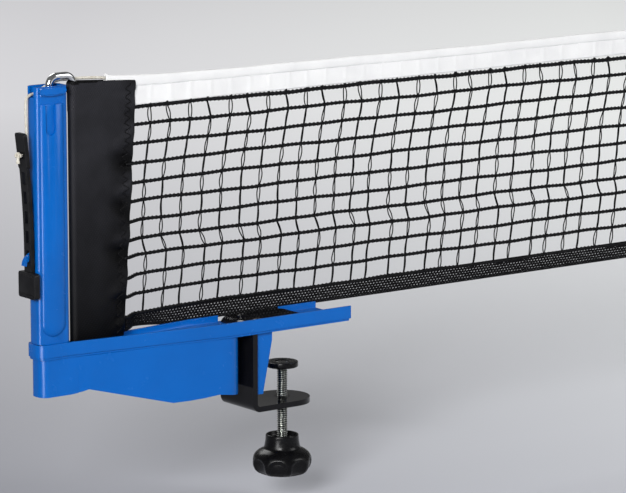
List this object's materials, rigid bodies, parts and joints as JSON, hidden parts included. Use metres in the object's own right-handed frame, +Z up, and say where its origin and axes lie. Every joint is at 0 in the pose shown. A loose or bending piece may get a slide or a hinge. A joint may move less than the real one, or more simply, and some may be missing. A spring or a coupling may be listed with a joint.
{
  "type": "table tennis net clamp",
  "caption": "Screw clamp for a table's edge with a long moulded arm, an upright post, a bent rod through the net's sleeve, a hooked rubber strap with its cord, and the end of the net.",
  "frame": {"origin": "in the middle of the tray's underside over the table, at the stop face: the corner where the table's top surface meets its edge", "axes": "+X along the net towards the middle of the table, +Y across it, away from the side with the taller lip, +Z up"},
  "size_m": [0.5093, 0.0411, 0.2481],
  "materials": {
    "blue_plastic": "gloss",
    "black_paint": "gloss",
    "zinc": "satin",
    "chrome": "polished",
    "black_plastic": "satin",
    "black_nylon": "matte",
    "white_cloth": "matte",
    "black_rubber": "satin",
    "cream_cord": "matte"
  },
  "bodies": {
    "frame": {"arm_tray": "blue_plastic", "arm_skirt": "blue_plastic", "skirt_screw_post_side": "zinc", "skirt_screw_clamp_side": "zinc", "c_bracket": "black_paint", "bracket_screw_front": "black_paint", "bracket_screw_back": "black_paint", "threaded_bush": "black_paint"},
    "pad": {"pressure_pad": "black_plastic"},
    "clamp_screw": {"clamp_screw": "zinc", "clamp_knob": "black_plastic"},
    "height_screw": {"height_screw": "zinc", "height_clip": "zinc"},
    "post": {"post_shell": "blue_plastic", "height_nut": "zinc", "net_mesh": "black_nylon", "top_tape": "white_cloth", "bottom_band": "black_nylon", "net_sleeve": "black_nylon", "far_sleeve": "black_nylon", "tension_cord": "cream_cord", "cord_knot": "cream_cord", "tension_strap": "black_rubber"},
    "net_rod": {"net_rod": "chrome"}
  },
  "joints": [
    {"name": "pad_slide", "type": "slide", "parent": "frame", "child": "pad", "axis": [0, 0, 1], "range_m": [-0.0155, 0.018]},
    {"name": "clamp_turn", "type": "hinge", "parent": "pad", "child": "clamp_screw", "pos_m": [0.0179, 0, -0.0769], "axis": [0, 0, 1], "range_deg": [-4390, 5100]},
    {"name": "height_turn", "type": "hinge", "parent": "frame", "child": "height_screw", "pos_m": [-0.14205, 0, 0], "axis": [0, 0, 1], "range_deg": [-2701, 0]},
    {"name": "post_lift", "type": "slide", "parent": "frame", "child": "post", "axis": [0, 0, 1], "range_m": [0, 0.006]},
    {"name": "rod_lift", "type": "slide", "parent": "post", "child": "net_rod", "axis": [0, 0, 1], "range_m": [0, 0.15]}
  ],
  "couplings": [
    {"joint": "pad_slide", "follows": "clamp_turn", "m_per_rad": 0.00020213},
    {"joint": "height_turn", "follows": "post_lift", "rad_per_m": -7854}
  ]
}
